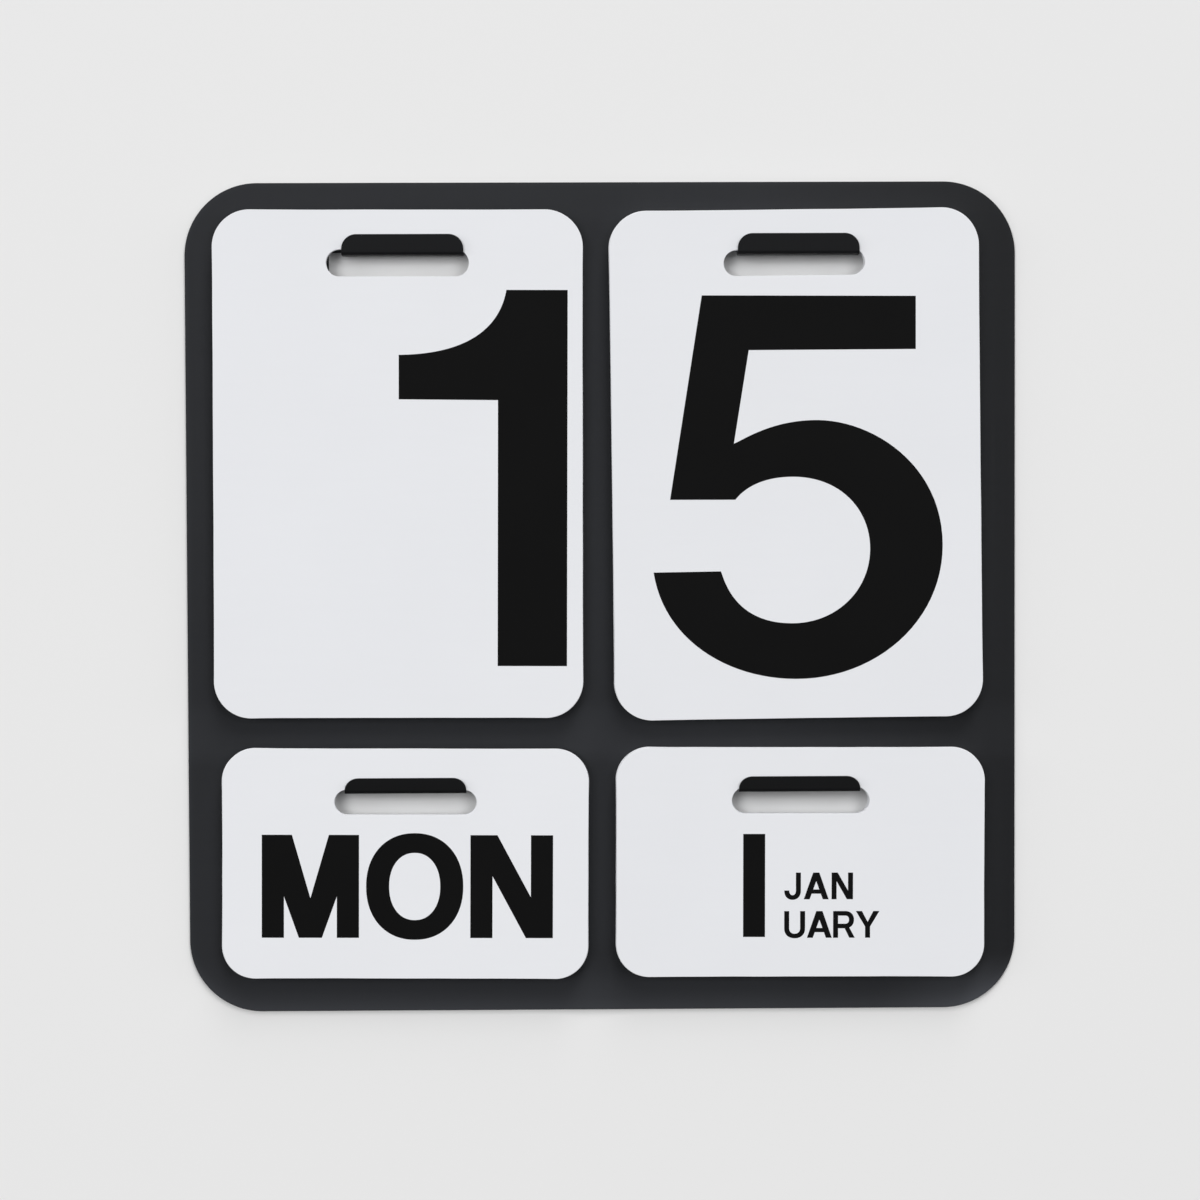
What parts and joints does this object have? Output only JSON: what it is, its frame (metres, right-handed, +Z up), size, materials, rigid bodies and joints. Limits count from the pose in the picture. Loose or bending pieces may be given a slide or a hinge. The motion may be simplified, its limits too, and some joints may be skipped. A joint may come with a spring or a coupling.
{
  "type": "perpetual wall calendar",
  "caption": "Perpetual wall calendar: a black sheet-metal plate with punched hooks that carry packs of slotted plastic cards for tens, units, weekday and month.",
  "frame": {"origin": "centre of the plate's flat back face, the face that lies against the wall", "axes": "+Z up, +X to the right seen from the front, +Y out of the back face into the wall, so the front faces -Y"},
  "size_m": [0.315, 0.0085, 0.315],
  "materials": {
    "plate": "black anodised, satin",
    "card": "white rigid plastic sheet, smooth satin",
    "ink": "black lithographic ink, matt"
  },
  "bodies": {
    "plate": {"base_plate": "plate"},
    "tens_card_1": {"tens_card_1": "card"},
    "tens_card_2": {"tens_card_2": "card"},
    "tens_card_3": {"tens_card_3": "card"},
    "tens_card_blank": {"tens_card_blank": "card"},
    "units_card_5": {"units_card_5": "card"},
    "units_card_6": {"units_card_6": "card"},
    "units_card_7": {"units_card_7": "card"},
    "units_card_8": {"units_card_8": "card"},
    "units_card_9": {"units_card_9": "card"},
    "units_card_0": {"units_card_0": "card"},
    "units_card_1": {"units_card_1": "card"},
    "units_card_2": {"units_card_2": "card"},
    "units_card_3": {"units_card_3": "card"},
    "units_card_4": {"units_card_4": "card"},
    "weekday_card_monday": {"weekday_card_monday": "card"},
    "weekday_card_tuesday": {"weekday_card_tuesday": "card"},
    "weekday_card_wednesday": {"weekday_card_wednesday": "card"},
    "weekday_card_thursday": {"weekday_card_thursday": "card"},
    "weekday_card_friday": {"weekday_card_friday": "card"},
    "weekday_card_saturday": {"weekday_card_saturday": "card"},
    "weekday_card_sunday": {"weekday_card_sunday": "card"},
    "month_card_january": {"month_card_january": "card"},
    "month_card_february": {"month_card_february": "card"},
    "month_card_march": {"month_card_march": "card"},
    "month_card_april": {"month_card_april": "card"},
    "month_card_may": {"month_card_may": "card"},
    "month_card_june": {"month_card_june": "card"},
    "month_card_july": {"month_card_july": "card"},
    "month_card_august": {"month_card_august": "card"},
    "month_card_september": {"month_card_september": "card"},
    "month_card_october": {"month_card_october": "card"},
    "month_card_november": {"month_card_november": "card"},
    "month_card_december": {"month_card_december": "card"}
  },
  "joints": [
    {"name": "tens_card_1_lift", "type": "slide", "parent": "plate", "child": "tens_card_1", "axis": [0, 0, 1], "range_m": [0, 0.0065]},
    {"name": "tens_card_2_lift", "type": "slide", "parent": "plate", "child": "tens_card_2", "axis": [0, 0, 1], "range_m": [0, 0.0065]},
    {"name": "tens_card_3_lift", "type": "slide", "parent": "plate", "child": "tens_card_3", "axis": [0, 0, 1], "range_m": [0, 0.0065]},
    {"name": "tens_card_blank_lift", "type": "slide", "parent": "plate", "child": "tens_card_blank", "axis": [0, 0, 1], "range_m": [0, 0.0065]},
    {"name": "units_card_5_lift", "type": "slide", "parent": "plate", "child": "units_card_5", "axis": [0, 0, 1], "range_m": [0, 0.0065]},
    {"name": "units_card_6_lift", "type": "slide", "parent": "plate", "child": "units_card_6", "axis": [0, 0, 1], "range_m": [0, 0.0065]},
    {"name": "units_card_7_lift", "type": "slide", "parent": "plate", "child": "units_card_7", "axis": [0, 0, 1], "range_m": [0, 0.0065]},
    {"name": "units_card_8_lift", "type": "slide", "parent": "plate", "child": "units_card_8", "axis": [0, 0, 1], "range_m": [0, 0.0065]},
    {"name": "units_card_9_lift", "type": "slide", "parent": "plate", "child": "units_card_9", "axis": [0, 0, 1], "range_m": [0, 0.0065]},
    {"name": "units_card_0_lift", "type": "slide", "parent": "plate", "child": "units_card_0", "axis": [0, 0, 1], "range_m": [0, 0.0065]},
    {"name": "units_card_1_lift", "type": "slide", "parent": "plate", "child": "units_card_1", "axis": [0, 0, 1], "range_m": [0, 0.0065]},
    {"name": "units_card_2_lift", "type": "slide", "parent": "plate", "child": "units_card_2", "axis": [0, 0, 1], "range_m": [0, 0.0065]},
    {"name": "units_card_3_lift", "type": "slide", "parent": "plate", "child": "units_card_3", "axis": [0, 0, 1], "range_m": [0, 0.0065]},
    {"name": "units_card_4_lift", "type": "slide", "parent": "plate", "child": "units_card_4", "axis": [0, 0, 1], "range_m": [0, 0.0065]},
    {"name": "weekday_card_monday_lift", "type": "slide", "parent": "plate", "child": "weekday_card_monday", "axis": [0, 0, 1], "range_m": [0, 0.0065]},
    {"name": "weekday_card_tuesday_lift", "type": "slide", "parent": "plate", "child": "weekday_card_tuesday", "axis": [0, 0, 1], "range_m": [0, 0.0065]},
    {"name": "weekday_card_wednesday_lift", "type": "slide", "parent": "plate", "child": "weekday_card_wednesday", "axis": [0, 0, 1], "range_m": [0, 0.0065]},
    {"name": "weekday_card_thursday_lift", "type": "slide", "parent": "plate", "child": "weekday_card_thursday", "axis": [0, 0, 1], "range_m": [0, 0.0065]},
    {"name": "weekday_card_friday_lift", "type": "slide", "parent": "plate", "child": "weekday_card_friday", "axis": [0, 0, 1], "range_m": [0, 0.0065]},
    {"name": "weekday_card_saturday_lift", "type": "slide", "parent": "plate", "child": "weekday_card_saturday", "axis": [0, 0, 1], "range_m": [0, 0.0065]},
    {"name": "weekday_card_sunday_lift", "type": "slide", "parent": "plate", "child": "weekday_card_sunday", "axis": [0, 0, 1], "range_m": [0, 0.0065]},
    {"name": "month_card_january_lift", "type": "slide", "parent": "plate", "child": "month_card_january", "axis": [0, 0, 1], "range_m": [0, 0.0065]},
    {"name": "month_card_february_lift", "type": "slide", "parent": "plate", "child": "month_card_february", "axis": [0, 0, 1], "range_m": [0, 0.0065]},
    {"name": "month_card_march_lift", "type": "slide", "parent": "plate", "child": "month_card_march", "axis": [0, 0, 1], "range_m": [0, 0.0065]},
    {"name": "month_card_april_lift", "type": "slide", "parent": "plate", "child": "month_card_april", "axis": [0, 0, 1], "range_m": [0, 0.0065]},
    {"name": "month_card_may_lift", "type": "slide", "parent": "plate", "child": "month_card_may", "axis": [0, 0, 1], "range_m": [0, 0.0065]},
    {"name": "month_card_june_lift", "type": "slide", "parent": "plate", "child": "month_card_june", "axis": [0, 0, 1], "range_m": [0, 0.0065]},
    {"name": "month_card_july_lift", "type": "slide", "parent": "plate", "child": "month_card_july", "axis": [0, 0, 1], "range_m": [0, 0.0065]},
    {"name": "month_card_august_lift", "type": "slide", "parent": "plate", "child": "month_card_august", "axis": [0, 0, 1], "range_m": [0, 0.0065]},
    {"name": "month_card_september_lift", "type": "slide", "parent": "plate", "child": "month_card_september", "axis": [0, 0, 1], "range_m": [0, 0.0065]},
    {"name": "month_card_october_lift", "type": "slide", "parent": "plate", "child": "month_card_october", "axis": [0, 0, 1], "range_m": [0, 0.0065]},
    {"name": "month_card_november_lift", "type": "slide", "parent": "plate", "child": "month_card_november", "axis": [0, 0, 1], "range_m": [0, 0.0065]},
    {"name": "month_card_december_lift", "type": "slide", "parent": "plate", "child": "month_card_december", "axis": [0, 0, 1], "range_m": [0, 0.0065]}
  ]
}
